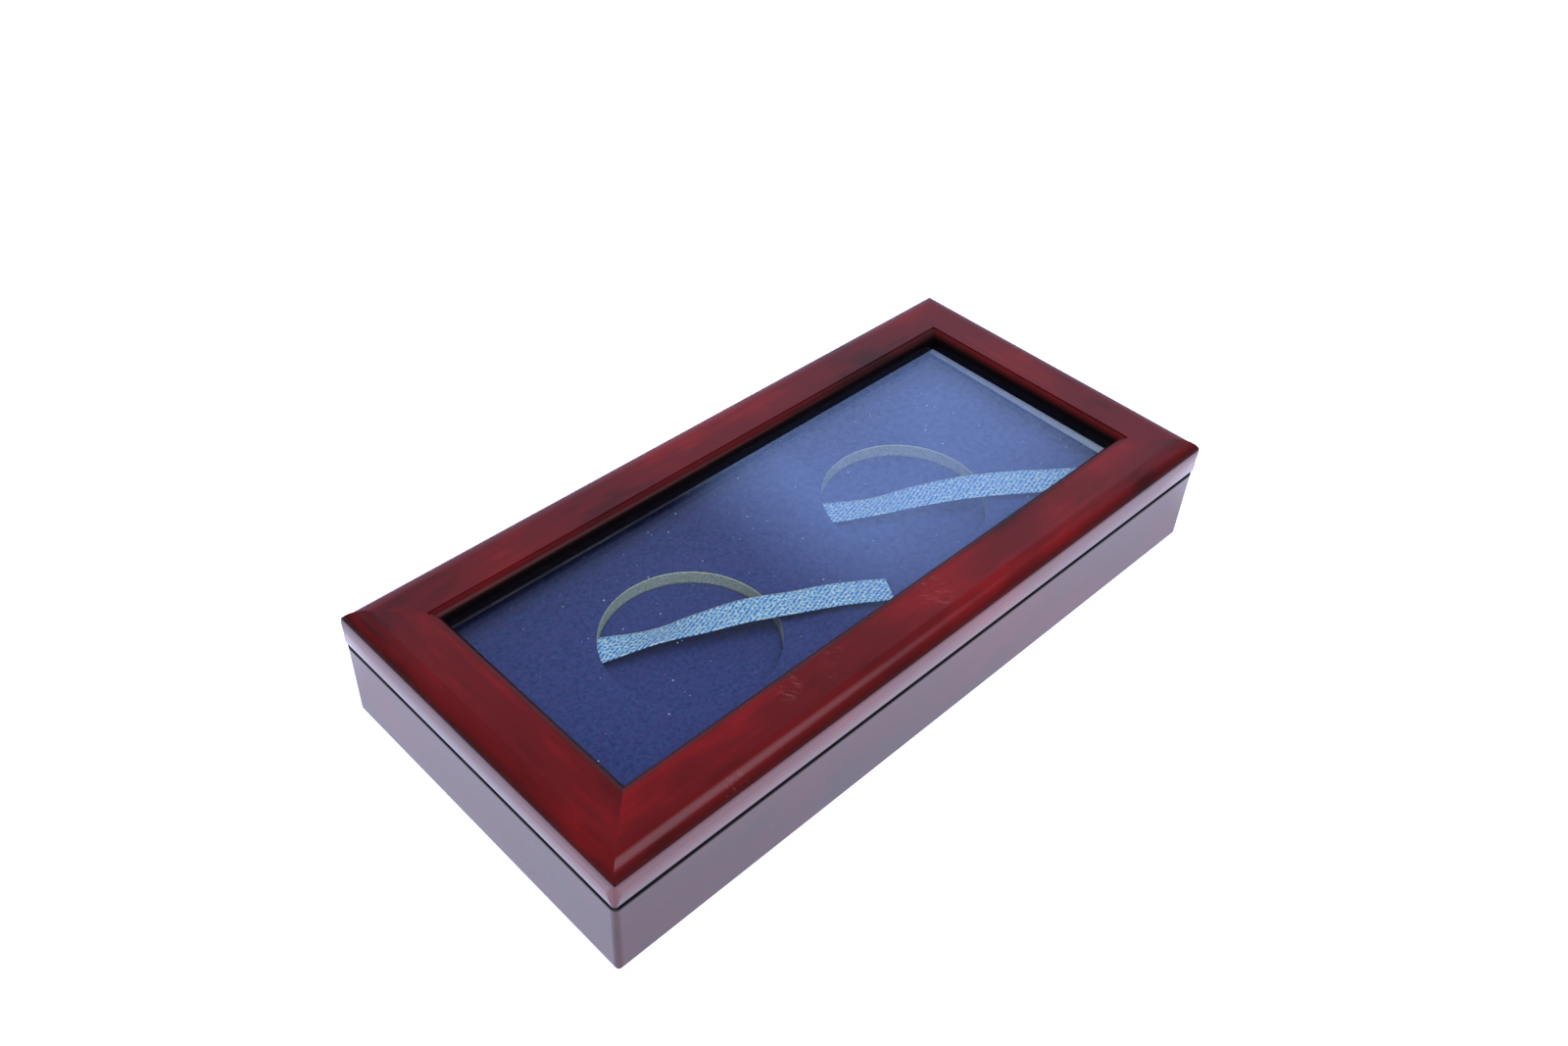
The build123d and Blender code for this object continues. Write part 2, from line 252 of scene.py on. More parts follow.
def lacquered_wood(name, turn):
    """Cherry-red stain under lacquer, its grain along X turned by the given angle."""
    finish, tree, shader = new_finish(name)
    along = place_in(tree, (9, 1, 1), turn)
    clouds = cloud(tree, place_in(tree, (2.2, 1, 1), turn), wood_cloud, 3)
    streaks = cloud(tree, along, wood_streak, 4, 0.6)
    pores = cloud(tree, place_in(tree, (24, 1, 1), turn), wood_pore, 2, 0.55)
    depth = sum_of(tree, "MULTIPLY_ADD", streaks, 0.26, sum_of(tree, "MULTIPLY", clouds, 0.88))
    colour = tint(tree, between(tree, depth, 0.36, 0.56), stain_dark, stain_middle)
    colour = tint(tree, between(tree, depth, 0.56, 0.76), colour, stain_bright)
    pore_mask = between(tree, pores, 0.60, 0.70)
    colour = tint(tree, sum_of(tree, "MULTIPLY", pore_mask, 0.28), colour, stain_dark)
    scuff_place = cloud(tree, place_in(tree), scuff_patch, 1)
    scuff_lines = cloud(tree, place_in(tree, (1, 5, 1), 0.6), scuff_line, 3, 0.7)
    scuffed = between(tree, scuff_place, 0.66, 0.74)
    scuffs = sum_of(tree, "MULTIPLY", scuffed, between(tree, scuff_lines, 0.52, 0.66))
    colour = tint(tree, sum_of(tree, "MULTIPLY", scuffs, 0.30), colour, scuff_colour)
    height = make(tree, "ShaderNodeSeparateXYZ", Vector=place_in(tree)).outputs["Z"]
    # Painted shade: black on the reveal and in the parting line, where the coat is thinned to a tenth too.
    hidden = sum_of(tree, "MAXIMUM", reveal_shade(tree, height), parting_shade(tree, height))
    # Painted shade: the base's walls and the steep part of the lid's edge go half way to black.
    painted_shade = sum_of(tree, "MAXIMUM", between(tree, height, lid_bottom, wall_top), steep_edge_shade(tree, height))
    painted_shade = sum_of(tree, "MAXIMUM", hidden, sum_of(tree, "MULTIPLY", painted_shade, 0.5))
    put(shader.inputs["Base Color"], tint(tree, painted_shade, colour, shade_black), tree)
    put(shader.inputs["Coat Weight"], sum_of(tree, "MULTIPLY_ADD", hidden, -0.9, 1.0), tree)
    rough = sum_of(tree, "MULTIPLY_ADD", clouds, 0.12, sum_of(tree, "MULTIPLY_ADD", scuffs, 0.25, 0.34))
    put(shader.inputs["Roughness"], rough, tree)
    put(shader.inputs["Normal"], relief(tree, sum_of(tree, "MULTIPLY", pore_mask, -1.0), pore_depth), tree)
    ripple = cloud(tree, place_in(tree, (3, 1, 1), turn), lacquer_ripple, 1)
    put(shader.inputs["Coat Normal"], relief(tree, ripple, ripple_depth), tree)
    shader.inputs["Specular IOR Level"].default_value = 0.1
    shader.inputs["Coat Roughness"].default_value = 0.09
    shader.inputs["Coat IOR"].default_value = 1.55
    return finish


long_wood = lacquered_wood("lacquered_wood_long", 0.0)
short_wood = lacquered_wood("lacquered_wood_short", math.pi / 2)


def finish_nodes(names, finish):
    """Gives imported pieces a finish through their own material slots."""
    for name in names:
        for holder in nodes[name].material_slots:
            holder.link = "OBJECT"
            holder.material = finish


finish_nodes(["base_front_wall", "base_back_wall", "lid_front_rail", "lid_back_rail"], long_wood)
finish_nodes(["base_left_wall", "base_right_wall", "lid_left_rail", "lid_right_rail"], short_wood)
print("wood finishes:", long_wood.name, "and", short_wood.name)

# %% [markdown]
# The pane is real glass 2 mm thick, so the insert below looks about a millimetre nearer than it is. Light
# for the insert has to pass the pane: shadow and diffuse rays go straight through, which is what a clear
# pane does to soft light. Fine dust lies on it as pale specks of unequal size. A thin bluish film starts
# left of the middle and veils the right half, less so along the front. It is partly a dust film and partly
# a painted reflection of a bluish room, laid on the pane as colour.

# %% Window glass
# Partly dust and partly painted reflection: the film's colour, cover and patches.
film_reflection_colour = (0.30, 0.46, 1.0, 1)
speck_colour = (0.70, 0.80, 0.95, 1)
film_reflection_start = -20 * mm
film_reflection_full = 18 * mm
film_reflection_cover = 0.16
film_reflection_patch, film_reflection_patch_share = 30 * mm, 0.05
film_reflection_mottle, film_reflection_mottle_share = 1.6 * mm, 0.06
fade_front, fade_back = -36 * mm, -4 * mm
speck_spacing = 1.9 * mm


def window_finish():
    """Clear glass under dust and a bluish haze that is partly painted reflection, open to shadow and diffuse
    rays.
    """
    finish, tree, shader = new_finish("window_glass")
    shader.inputs["Base Color"].default_value = (0.955, 0.98, 0.975, 1)
    shader.inputs["Roughness"].default_value = 0.0
    shader.inputs["IOR"].default_value = 1.5
    shader.inputs["Transmission Weight"].default_value = 1.0
    specks = make(tree, "ShaderNodeTexVoronoi", Vector=place_in(tree), Scale=1 / speck_spacing)
    chance = make(tree, "ShaderNodeSeparateColor", Color=specks.outputs["Color"]).outputs
    reach = sum_of(tree, "MULTIPLY", sum_of(tree, "POWER", chance["Red"], 3.0), 0.10)
    speck = sum_of(tree, "LESS_THAN", specks.outputs["Distance"], reach)
    speck_cover = sum_of(tree, "MULTIPLY", speck, sum_of(tree, "MULTIPLY_ADD", chance["Green"], 0.6, 0.25))
    spot = make(tree, "ShaderNodeSeparateXYZ", Vector=place_in(tree)).outputs
    patches = between(tree, cloud(tree, place_in(tree), film_reflection_patch, 4, 0.6), 0.30, 0.80)
    mottle = between(tree, cloud(tree, place_in(tree), film_reflection_mottle, 3, 0.6), 0.36, 0.64)
    haze = sum_of(tree, "MULTIPLY_ADD", mottle, film_reflection_mottle_share, film_reflection_cover - film_reflection_mottle_share / 2)
    haze = sum_of(tree, "MULTIPLY_ADD", patches, film_reflection_patch_share, haze)
    less_at_front = sum_of(tree, "MULTIPLY_ADD", between(tree, spot["Y"], fade_front, fade_back), 0.5, 0.5)
    # Painted reflection in part: the bluish film grows to the right and thins towards the front.
    film_reflection = sum_of(tree, "MULTIPLY", between(tree, spot["X"], film_reflection_start, film_reflection_full), haze)
    film_reflection = sum_of(tree, "MULTIPLY", film_reflection, less_at_front)
    dust = make(tree, "ShaderNodeBsdfDiffuse", Color=tint(tree, speck, film_reflection_colour, speck_colour))
    dusty = make(tree, "ShaderNodeMixShader", Fac=sum_of(tree, "MAXIMUM", speck_cover, film_reflection))
    tree.links.new(shader.outputs[0], dusty.inputs[1])
    tree.links.new(dust.outputs[0], dusty.inputs[2])
    path = make(tree, "ShaderNodeLightPath")
    passing = sum_of(tree, "MAXIMUM", path.outputs["Is Shadow Ray"], path.outputs["Is Diffuse Ray"])
    clear = make(tree, "ShaderNodeBsdfTransparent", Color=(0.93, 0.95, 0.95, 1))
    both = make(tree, "ShaderNodeMixShader", Fac=passing)
    tree.links.new(dusty.outputs[0], both.inputs[1])
    tree.links.new(clear.outputs[0], both.inputs[2])
    tree.links.new(both.outputs[0], tree.nodes["Material Output"].inputs["Surface"])
    return finish


finish_nodes(["window_glass"], window_finish())
print("film on the pane from", film_reflection_start / mm, "mm, full from", film_reflection_full / mm, "mm")

# %% [markdown]
# The strips that hold the pane are matt and off-white, with a little unevenness where they were cut. The two
# long ones get a dull grey instead, as painted shade under the lid's rails. The hinges, pins and screws are
# brass with a fine drawn grain and a slight tarnish. The magnets are nickel plated. The bottom panel is thin
# pressed board. All of them wander between two colours at the scale of their own making, so one function
# serves for five finishes.

# %% Small fittings
def plain_finish(name, light, dark, size, stretch, rough, metal=0.0, depth=0.006 * mm):
    """A finish that wanders between two colours, with roughness and relief from the same grain."""
    finish, tree, shader = new_finish(name)
    grain = cloud(tree, place_in(tree, stretch), size, 4, 0.6)
    blotches = cloud(tree, place_in(tree), 12 * size, 2)
    both = sum_of(tree, "MULTIPLY_ADD", grain, 0.5, sum_of(tree, "MULTIPLY", blotches, 0.5))
    put(shader.inputs["Base Color"], tint(tree, between(tree, both, 0.38, 0.62), dark, light), tree)
    put(shader.inputs["Roughness"], sum_of(tree, "MULTIPLY_ADD", both, 0.25, rough), tree)
    put(shader.inputs["Normal"], relief(tree, grain, depth), tree)
    shader.inputs["Metallic"].default_value = metal
    return finish


pale_strip = plain_finish(
    "pale_strip", (0.95, 0.95, 0.93, 1), (0.84, 0.85, 0.84, 1), 0.6 * mm, (4, 4, 1), 0.55, depth=0.02 * mm
)
# Painted shade: the long strips get a dull grey copy of the strip's finish.
shaded_strip = plain_finish(
    "shaded_strip", (0.15, 0.15, 0.15, 1), (0.08, 0.08, 0.085, 1), 0.6 * mm, (4, 4, 1), 0.55, depth=0.02 * mm
)
brass = plain_finish(
    "drawn_brass", (0.80, 0.58, 0.25, 1), (0.50, 0.32, 0.12, 1), 0.25 * mm, (14, 1, 1), 0.16, metal=1.0
)
nickel = plain_finish(
    "plated_magnet", (0.70, 0.70, 0.71, 1), (0.52, 0.52, 0.55, 1), 0.4 * mm, (1, 1, 1), 0.14, metal=1.0
)
board = plain_finish(
    "pressed_board", (0.42, 0.29, 0.18, 1), (0.26, 0.17, 0.10, 1), 0.7 * mm, (3, 1, 1), 0.60, depth=0.04 * mm
)
finish_nodes(["left_glass_strip", "right_glass_strip"], pale_strip)
finish_nodes(["front_glass_strip", "back_glass_strip"], shaded_strip)
finish_nodes([f"{side}_hinge_{leaf}_leaf" for side in ("left", "right") for leaf in ("base", "lid")], brass)
finish_nodes(["hinge_pins", "base_hinge_screws", "lid_hinge_screws"], brass)
finish_nodes(["base_magnets", "lid_magnets"], nickel)
finish_nodes(["base_bottom_panel"], board)
print("fittings:", ", ".join(finish.name for finish in (pale_strip, shaded_strip, brass, nickel, board)))

# %% [markdown]
# Flocked velvet is a mat of short fibres. Each fibre tip catches light a little differently and fibres
# lean together in tufts, so the colour jitters from a fifth of a millimetre up to one millimetre, and
# hands and pressing leave wider purplish blotches. Sheen gives the soft glow at low angles. Hair strands
# would be truer close up, but far too heavy for a flat sheet that is seen whole. Felt is the same idea
# with coarser fibres. Foam is a froth of open cells: a cell pattern drives its colour and its relief.

# %% Velvet, foam and felt
mark_size = 6 * mm
foam_cell = 0.4 * mm
foam_cell_depth = 0.09 * mm
foam_ageing = 9 * mm


def fibre_finish(name, light, dark, blotch, fibre):
    """A mat of short fibres between two colours, blotched with a third."""
    finish, tree, shader = new_finish(name)
    where = place_in(tree)
    tips = cloud(tree, where, fibre, 3, 0.7)
    tufts = cloud(tree, where, 5.0 * fibre, 3, 0.6)
    hues = cloud(tree, where, 9.0 * fibre, 2, 0.6)
    marks = cloud(tree, where, mark_size, 4, 0.65)
    pile = sum_of(tree, "MULTIPLY_ADD", tips, 0.35, sum_of(tree, "MULTIPLY", tufts, 0.65))
    colour = tint(tree, between(tree, pile, 0.34, 0.66), dark, light)
    blotches = sum_of(tree, "MAXIMUM", between(tree, hues, 0.48, 0.62), between(tree, marks, 0.45, 0.72))
    colour = tint(tree, sum_of(tree, "MULTIPLY", blotches, 0.5), colour, blotch)
    put(shader.inputs["Base Color"], colour, tree)
    put(shader.inputs["Roughness"], sum_of(tree, "MULTIPLY_ADD", tips, 0.15, 0.80), tree)
    put(shader.inputs["Normal"], relief(tree, tips, 0.6 * fibre), tree)
    shader.inputs["Specular IOR Level"].default_value = 0.15
    shader.inputs["Sheen Weight"].default_value = 0.35
    shader.inputs["Sheen Roughness"].default_value = 0.45
    shader.inputs["Sheen Tint"].default_value = light
    return finish


def foam_finish():
    """Open cells with painted shade in their hollow middles, yellowed here and there with age."""
    finish, tree, shader = new_finish("grey_green_foam")
    cells = make(tree, "ShaderNodeTexVoronoi", Vector=place_in(tree), Scale=1 / foam_cell)
    distance = cells.outputs["Distance"]
    ageing = cloud(tree, place_in(tree), foam_ageing, 3)
    # Painted shade: each cell is darker in its hollow middle.
    colour = tint(tree, between(tree, distance, 0.15, 0.65), (0.24, 0.30, 0.27, 1), (0.56, 0.66, 0.60, 1))
    colour = tint(tree, sum_of(tree, "MULTIPLY", ageing, 0.35), colour, (0.52, 0.56, 0.44, 1))
    put(shader.inputs["Base Color"], colour, tree)
    put(shader.inputs["Normal"], relief(tree, distance, foam_cell_depth), tree)
    put(shader.inputs["Roughness"], sum_of(tree, "MULTIPLY_ADD", distance, 0.1, 0.85), tree)
    shader.inputs["Specular IOR Level"].default_value = 0.2
    return finish


velvet = fibre_finish(
    "navy_velvet", (0.054, 0.086, 0.300, 1), (0.030, 0.046, 0.175, 1), (0.070, 0.066, 0.260, 1), 0.22 * mm
)
felt = fibre_finish(
    "underside_felt", (0.070, 0.068, 0.085, 1), (0.022, 0.022, 0.030, 1), (0.050, 0.045, 0.060, 1), 0.5 * mm
)
foam = foam_finish()
print("soft finishes:", ", ".join(finish.name for finish in (velvet, felt, foam)))

# %% [markdown]
# The insert's skin is a rectangle with two round holes. A mesh for such a shape can be drawn as rings:
# each ring is a step on the way from the circle out to the rectangle, so the ring at the hole is round and
# the one at the border is straight. One half holds one hole and the other half is its mirror image. The
# rim of the velvet rolls down into the hole, as a pressed skin does.

# %% Ring mesh round the recesses
insert_low, insert_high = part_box("insert_top_velvet")
recess_x = 37.7 * mm
recess_radius = 22.0 * mm
ray_count = 128


def border_point(angle, left, right, half_depth, centre_x):
    """Where a ray from the hole's centre meets the rectangle."""
    way = Vector((math.cos(angle), math.sin(angle)))
    reach_x = ((right if way.x > 0 else left) - centre_x) / way.x if abs(way.x) > 1e-9 else math.inf
    reach_y = math.copysign(half_depth, way.y) / way.y if abs(way.y) > 1e-9 else math.inf
    return Vector((centre_x, 0)) + way * min(reach_x, reach_y)


def ray_angles(left, right, half_depth, centre_x):
    """Evenly spread rays, with the nearest one moved into each corner of the rectangle."""
    angles = [2 * math.pi * step / ray_count for step in range(ray_count)]
    for x in (left, right):
        for y in (-half_depth, half_depth):
            corner = math.atan2(y, x - centre_x) % (2 * math.pi)
            angles[round(corner / (2 * math.pi) * ray_count) % ray_count] = corner
    return angles


def pierced_rings(form, heights, spread):
    """Adds both halves of a pierced sheet to a mesh.

    The heights are steps out from the hole's rim, each with its z. The spread is the shares of the way
    from the last of them to the border.
    """
    left, right, half_depth = 0.0, insert_high.x, insert_high.y
    angles = ray_angles(left, right, half_depth, recess_x)
    rings = []
    for angle in angles:
        border = border_point(angle, left, right, half_depth, recess_x)
        way = Vector((math.cos(angle), math.sin(angle)))
        rim = Vector((recess_x, 0)) + way * recess_radius
        ring = [(rim + way * step, z) for step, z in heights]
        start, top = ring[-1]
        ring += [(start.lerp(border, share), top) for share in spread]
        rings.append(ring)
    for side in (1, -1):
        points = [[form.verts.new((side * spot.x, spot.y, z)) for spot, z in ring] for ring in rings]
        for here, beside in zip(points, points[1:] + points[:1]):
            for step in range(len(here) - 1):
                corners = [here[step], here[step + 1], beside[step + 1], beside[step]]
                form.faces.new(corners if side == -1 else corners[::-1])


print("recess rim: a point every", round(2 * math.pi * recess_radius / ray_count / mm, 2), "mm")

# %% [markdown]
# A drawn mesh becomes a piece in the same few steps each time: points that lie on each other are welded,
# the faces are turned to look outwards, and the piece gets its finish, its body and its material slot.
# Written once, these steps can't be forgotten for one of the seven soft pieces.

# %% From a drawn mesh to a piece
weld_distance = 0.00001


def finished_mesh(form, name, finish, body):
    """Turns the drawn mesh into a piece that rides on a body."""
    bmesh.ops.remove_doubles(form, verts=form.verts, dist=weld_distance)
    bmesh.ops.recalc_face_normals(form, faces=form.faces)
    mesh = bpy.data.meshes.new(name)
    form.to_mesh(mesh)
    form.free()
    mesh.materials.append(finish)
    for face in mesh.polygons:
        face.use_smooth = True
    piece = bpy.data.objects.new(name, mesh)
    bpy.context.collection.objects.link(piece)
    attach(piece, body)
    return piece


print("points nearer than", round(weld_distance / mm, 3), "mm are welded")

# %% [markdown]
# The velvet skin lies on the foam. Its top is almost flat, so a slow noise lowers it by a few hundredths
# of a millimetre here and there: without that, a mesh this flat looks like printed card.

# %% Velvet skin of the platform
velvet_top = insert_high.z
velvet_bottom = insert_low.z
rim_roll = [
    (0.02 * mm, velvet_bottom),
    (0.03 * mm, velvet_top - 0.22 * mm),
    (0.12 * mm, velvet_top - 0.07 * mm),
    (0.30 * mm, velvet_top - 0.01 * mm),
    (0.55 * mm, velvet_top),
]
border_shares = [0.05, 0.12, 0.20, 0.30, 0.42, 0.55, 0.68, 0.80, 0.90, 1.0]
swell = 0.035 * mm
swell_size = 0.008
form = bmesh.new()
pierced_rings(form, rim_roll, border_shares)
for corner in form.verts:
    if corner.co.z > velvet_top - 0.001 * mm:
        corner.co.z -= swell * (0.5 + 0.5 * noise.noise(corner.co / swell_size))
top_velvet = finished_mesh(form, "platform_velvet_skin", velvet, "base")
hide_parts("insert_top_velvet")
print("velvet skin:", len(top_velvet.data.polygons), "faces")

# %% [markdown]
# The pierced foam is a slab with the same two holes, cut right through. Its walls show, so they get rings
# of points of their own, moved outwards a little where the cutter tore the cells. Each ribbon's tail
# enters the wall of its recess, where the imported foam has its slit.

# %% Pierced foam
foam_low, foam_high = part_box("insert_upper_foam")
tear = 0.10 * mm
tear_size = 0.0009
unmarked = 0.1 * mm
wall_steps = 6
wall_heights = [foam_low.z + (foam_high.z - foam_low.z) * step / wall_steps for step in range(wall_steps + 1)]
outward = [(foam_edge, foam_low.z) for foam_edge in (6 * mm, 3 * mm, 1 * mm)]
upward = [(0.0, z) for z in wall_heights]
onto_top = [(0.5 * mm, foam_high.z), (2 * mm, foam_high.z)]
form = bmesh.new()
pierced_rings(form, outward + upward + onto_top, [0.1, 0.3, 0.6, 1.0])
for corner in form.verts:
    centre = Vector((math.copysign(recess_x, corner.co.x), 0, corner.co.z))
    out = corner.co - centre
    on_wall = abs(out.length - recess_radius) < 0.01 * mm
    if on_wall and foam_low.z + unmarked < corner.co.z < foam_high.z - unmarked:
        corner.co += out.normalized() * tear * (0.5 + 0.5 * noise.noise(corner.co / tear_size))
pierced_foam = finished_mesh(form, "pierced_foam", foam, "base")
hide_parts("insert_upper_foam")
print("pierced foam:", len(pierced_foam.data.polygons), "faces")

# %% [markdown]
# The other soft pieces are plain sheets: the velvet at the bottom of the recesses, the foam block under
# it and the felt under the box. Each is a grid with softened edges and a slow noise in its thickness.

# %% Plain soft sheets
wave_size = 0.007


def soft_slab(name, node, finish, spacing, edge, wave):
    """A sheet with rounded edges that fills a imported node's box."""
    low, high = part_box(node)
    counts = [max(2, round((high[axis] - low[axis]) / spacing)) for axis in (0, 1)]
    form = bmesh.new()
    grids = {}
    for level in (0, 1):
        for i in range(counts[0] + 1):
            for j in range(counts[1] + 1):
                x = low.x + (high.x - low.x) * i / counts[0]
                y = low.y + (high.y - low.y) * j / counts[1]
                border = i in (0, counts[0]) or j in (0, counts[1])
                softened = edge if border else 0
                lift = wave * (0.5 + 0.5 * noise.noise(Vector((x, y, level)) / wave_size)) + softened
                z = high.z - lift if level else low.z + softened
                grids[level, i, j] = form.verts.new((x, y, z))
    for level in (0, 1):
        for i in range(counts[0]):
            for j in range(counts[1]):
                form.faces.new([grids[level, i + a, j + b] for a, b in ((0, 0), (1, 0), (1, 1), (0, 1))])
    for i in range(counts[0]):
        for j in (0, counts[1]):
            form.faces.new([grids[0, i, j], grids[0, i + 1, j], grids[1, i + 1, j], grids[1, i, j]])
    for j in range(counts[1]):
        for i in (0, counts[0]):
            form.faces.new([grids[0, i, j], grids[0, i, j + 1], grids[1, i, j + 1], grids[1, i, j]])
    piece = finished_mesh(form, name, finish, "base")
    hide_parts(node)
    print(name, [round((high - low)[axis] / mm, 2) for axis in range(3)], "mm")
    return piece, high - low


floor_velvet, size = soft_slab(
    "recess_floor_velvet", "insert_floor_velvet", velvet, 2 * mm, 0.05 * mm, 0.04 * mm
)
foam_riser, size = soft_slab("foam_riser", "insert_lower_foam", foam, 4 * mm, 0.4 * mm, 0.05 * mm)
underside_felt, size = soft_slab("felt_base", "bottom_felt", felt, 2 * mm, 0.1 * mm, 0.03 * mm)

# %% [markdown]
# Satin ribbon shines because long threads float over its face. It is a narrow weave with fine slanting
# ribs, so the finish follows the ribbon's own length and width, which the mesh carries as a UV map in
# millimetres. Over the ribbon's own blue, the colour holds painted light and shade on the ribs, painted
# glints where single threads catch the light, and painted shading of slow folds. A ribbon of one blue with
# a shiny surface would look like tape.

# %% Satin finish
rib_slant = math.radians(38)
rib_scale = 0.29
thread_size = 0.8
glint_size = 0.85
fold_shade_size = 9.0
satin_blue_shaded = (0.045, 0.17, 0.66, 1)
satin_blue_lit = (0.27, 0.68, 1.0, 1)
satin_painted_glint = (0.84, 0.98, 1.0, 1)
satin_fold_shade = (0.12, 0.30, 0.80, 1)
weave_depth = 0.12 * mm


def satin():
    """Slanting ribs and threads with painted light, shade and glints; its sizes are in millimetres on the
    ribbon.
    """
    finish, tree, shader = new_finish("pale_blue_satin")
    own = place_in(tree, kind="UV")
    slant = place_in(tree, (1, 1, 1), rib_slant, kind="UV")
    ribs = make(
        tree,
        "ShaderNodeTexWave",
        {"wave_type": "BANDS", "bands_direction": "X"},
        Vector=slant,
        Scale=rib_scale,
        Distortion=1.0,
        Detail=2.0,
        Detail_Scale=3.0,
    ).outputs["Fac"]
    threads = cloud(tree, place_in(tree, (1.6, 0.5, 1), kind="UV"), thread_size, 3, 0.7)
    glints = between(tree, cloud(tree, own, glint_size, 2, 0.6), 0.51, 0.57)
    fold_shades = cloud(tree, own, fold_shade_size, 2)
    weave = sum_of(tree, "MULTIPLY_ADD", ribs, 0.55, sum_of(tree, "MULTIPLY", threads, 0.45))
    # Painted light and shade on the ribs, over the ribbon's own blue.
    colour = tint(tree, between(tree, weave, 0.36, 0.60), satin_blue_shaded, satin_blue_lit)
    # Painted highlight: glints of single threads.
    colour = tint(tree, sum_of(tree, "MULTIPLY", glints, 0.9), colour, satin_painted_glint)
    # Painted shading of slow folds.
    colour = tint(tree, sum_of(tree, "MULTIPLY", fold_shades, 0.3), colour, satin_fold_shade)
    put(shader.inputs["Base Color"], colour, tree)
    put(shader.inputs["Roughness"], sum_of(tree, "MULTIPLY_ADD", weave, -0.18, 0.48), tree)
    put(shader.inputs["Normal"], relief(tree, weave, weave_depth), tree)
    shader.inputs["Sheen Weight"].default_value = 0.4
    shader.inputs["Sheen Roughness"].default_value = 0.3
    return finish


satin_finish = satin()
print("ribbon finish:", satin_finish.name)

# %% [markdown]
# Each ribbon leaves a slit in the wall of its recess, crosses the hole so that it can lift a coin, and
# lies over the platform. Its route is a few stations along and across the recess in recess radii, a
# height in recess depths, and a roll that lifts the front edge. A cloth simulation would settle elsewhere
# at each change, so the route is drawn as the photograph shows it.

# %% Ribbon routes
recess_floor = foam_low.z
platform = velvet_top
recess_depth = platform - recess_floor
ribbon_width = 10.0 * mm
ribbon_tail = 9.0 * mm
ribbon_routes = {
    "left": (
        [(-0.85, 0.59, 0.43, 10), (-0.28, 0.29, 0.70, 27), (0.18, 0.07, 0.96, 19)],
        [(0.67, -0.17, 0.22, 13), (1.12, -0.45, 0.37, 14), (1.60, -0.69, 0.30, 13), (2.06, -1.01, 0.33, 14)],
    ),
    "right": (
        [(-0.88, 0.52, 0.43, 10), (-0.36, 0.17, 0.63, 16), (0.15, -0.13, 1.00, 10)],
        [(0.64, -0.44, 0.26, 6), (1.13, -0.79, 0.35, 4), (1.61, -1.12, 0.28, 6), (2.10, -1.45, 0.24, 9)],
    ),
}


def ribbon_stations(name, centre_x):
    """The centre line's points and the direction of the ribbon's width at each."""
    inside, over = ribbon_routes[name]
    stations = [(x, y, recess_floor + lift * recess_depth, roll) for x, y, lift, roll in inside]
    stations += [(x, y, platform + lift * recess_depth, roll) for x, y, lift, roll in over]
    points = [Vector((centre_x + x * recess_radius, y * recess_radius, z)) for x, y, z, roll in stations]
    widths = []
    for index, station in enumerate(stations):
        along = points[min(index + 1, len(points) - 1)] - points[max(index - 1, 0)]
        level = along.cross(Vector((0, 0, 1))).normalized()
        level.rotate(Quaternion(along.normalized(), -math.radians(station[3])))
        widths.append(level)
    first_along = (points[1] - points[0]).normalized()
    return [points[0] - first_along * ribbon_tail] + points, [widths[0]] + widths


print("recess depth:", round(recess_depth / mm, 2), "mm")

# %% [markdown]
# Straight pieces between stations would show as creases, so a smooth curve runs through them. It gives the
# centre line and the direction of the width. The mesh is then rows of points across the ribbon, with the
# selvedges a little raised and a slight ripple, and a modifier gives it its thickness.

# %% Ribbon meshes
ribbon_columns = 12
ribbon_steps = 16
ribbon_thickness = 0.24 * mm
selvedge = 0.05 * mm
ripple_height = 0.06 * mm
ripple_size = 0.005


def smooth_between(values, place):
    """A smooth curve through the values, at a place counted in stations."""
    index = min(int(place), len(values) - 2)
    share = place - index
    before = values[max(index - 1, 0)]
    start, end = values[index], values[index + 1]
    after = values[min(index + 2, len(values) - 1)]
    bend = (2 * before - 5 * start + 4 * end - after) * share**2
    twist = (3 * start - before - 3 * end + after) * share**3
    return 0.5 * (2 * start + (end - before) * share + bend + twist)


def make_ribbon(name, centre_x):
    """One ribbon, with its own length and width kept as its UV map."""
    points, widths = ribbon_stations(name, centre_x)
    form = bmesh.new()
    layer = form.loops.layers.uv.new("ribbon")
    rows, lengths = [], []
    length, last = 0.0, points[0]
    total_rows = (len(points) - 1) * ribbon_steps
    for row in range(total_rows + 1):
        place = row / ribbon_steps
        centre = smooth_between(points, place)
        way = smooth_between(widths, place).normalized()
        length += (centre - last).length
        last = centre
        lengths.append(length)
        line = []
        for column in range(ribbon_columns + 1):
            share = column / ribbon_columns - 0.5
            spot = centre + way * share * ribbon_width
            spot.z += selvedge * (2 * share) ** 8 + ripple_height * noise.noise(spot / ripple_size)
            line.append(form.verts.new(spot))
        rows.append(line)
    for row in range(total_rows):
        for column in range(ribbon_columns):
            face = form.faces.new(
                [rows[row][column], rows[row][column + 1], rows[row + 1][column + 1], rows[row + 1][column]]
            )
            spots = ((row, column), (row, column + 1), (row + 1, column + 1), (row + 1, column))
            for loop, (along, across) in zip(face.loops, spots):
                loop[layer].uv = (lengths[along] / mm, across / ribbon_columns * ribbon_width / mm)
    ribbon = finished_mesh(form, f"{name}_lift_ribbon", satin_finish, "base")
    thicken = ribbon.modifiers.new("thickness", "SOLIDIFY")
    thicken.thickness = ribbon_thickness
    thicken.offset = 0.0
    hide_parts(f"{name}_ribbon")
    print(f"{name} ribbon: {length / mm:.1f} mm long")


make_ribbon("left", -recess_x)
make_ribbon("right", recess_x)

